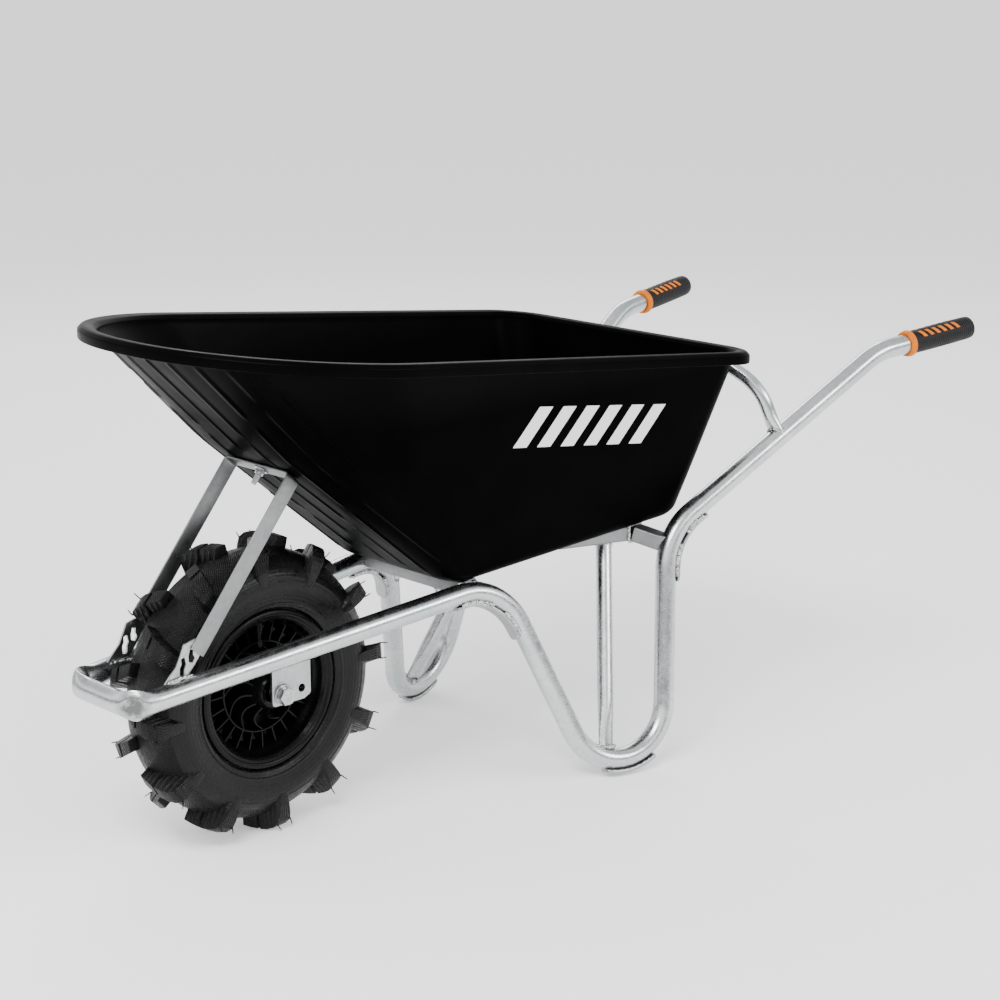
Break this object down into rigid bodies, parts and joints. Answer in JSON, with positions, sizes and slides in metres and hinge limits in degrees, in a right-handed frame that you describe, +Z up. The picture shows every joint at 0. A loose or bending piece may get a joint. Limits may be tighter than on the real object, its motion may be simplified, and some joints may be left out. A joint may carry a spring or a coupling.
{
  "type": "single-wheel barrow",
  "caption": "Single-wheel barrow with a deep black tray on a bent galvanised tube frame, two looped legs, rubber grips and a lugged pneumatic tyre.",
  "frame": {"origin": "on the ground, under the middle of the barrow's length and width", "axes": "+X forward to the wheel, +Y to the barrow's left, +Z up"},
  "size_m": [1.5385, 0.6626, 0.7311],
  "materials": {
    "galvanised_steel": "hot-dip galvanised, smooth satin",
    "zinc_bolts": "zinc plated",
    "tray_polymer": "black satin moulded polymer",
    "rim_polymer": "black moulded polymer",
    "tyre_rubber": "black tyre rubber",
    "grip_rubber": "ribbed dark grey rubber",
    "orange_plastic": "orange moulded collar",
    "bearing_steel": "ground steel"
  },
  "bodies": {
    "frame": {"frame_nose": "galvanised_steel", "front_cross_member": "galvanised_steel", "rear_cross_rail": "galvanised_steel", "rear_hoop": "galvanised_steel", "tray_brace": "galvanised_steel", "tray": "tray_polymer", "axle_bolt": "zinc_bolts", "axle_nut": "zinc_bolts", "frame_tube_left": "galvanised_steel", "frame_tube_right": "galvanised_steel", "rear_stub_left": "galvanised_steel", "rear_stub_right": "galvanised_steel", "strut_left": "galvanised_steel", "strut_right": "galvanised_steel", "front_gusset_left": "galvanised_steel", "front_gusset_right": "galvanised_steel", "rear_gusset_left": "galvanised_steel", "rear_gusset_right": "galvanised_steel", "skid_plate_left": "galvanised_steel", "skid_plate_right": "galvanised_steel", "axle_plate_left": "galvanised_steel", "axle_plate_right": "galvanised_steel", "brace_tab_left": "galvanised_steel", "brace_tab_right": "galvanised_steel", "axle_spacer_left": "zinc_bolts", "axle_spacer_right": "zinc_bolts", "axle_washer_left": "zinc_bolts", "axle_washer_right": "zinc_bolts", "grip_left": "grip_rubber", "grip_right": "grip_rubber", "grip_ring_left": "orange_plastic", "grip_ring_right": "orange_plastic", "tray_bolt_front_left": "zinc_bolts", "tray_bolt_front_right": "zinc_bolts", "tray_bolt_rear_left": "zinc_bolts", "tray_bolt_rear_right": "zinc_bolts", "tray_nut_front_left": "zinc_bolts", "tray_nut_front_right": "zinc_bolts", "tray_nut_rear_left": "zinc_bolts", "tray_nut_rear_right": "zinc_bolts", "brace_top_bolt": "zinc_bolts", "brace_top_nut": "zinc_bolts"},
    "wheel": {"tyre": "tyre_rubber", "inner_tube": "tyre_rubber", "wheel_rim": "rim_polymer", "hub": "rim_polymer", "bearing_left": "bearing_steel", "bearing_right": "bearing_steel", "valve_stem": "bearing_steel"}
  },
  "joints": [
    {"name": "wheel_spin", "type": "hinge", "parent": "frame", "child": "wheel", "pos_m": [0.5073, 0, 0.214], "axis": [0, 1, 0], "continuous": true}
  ]
}
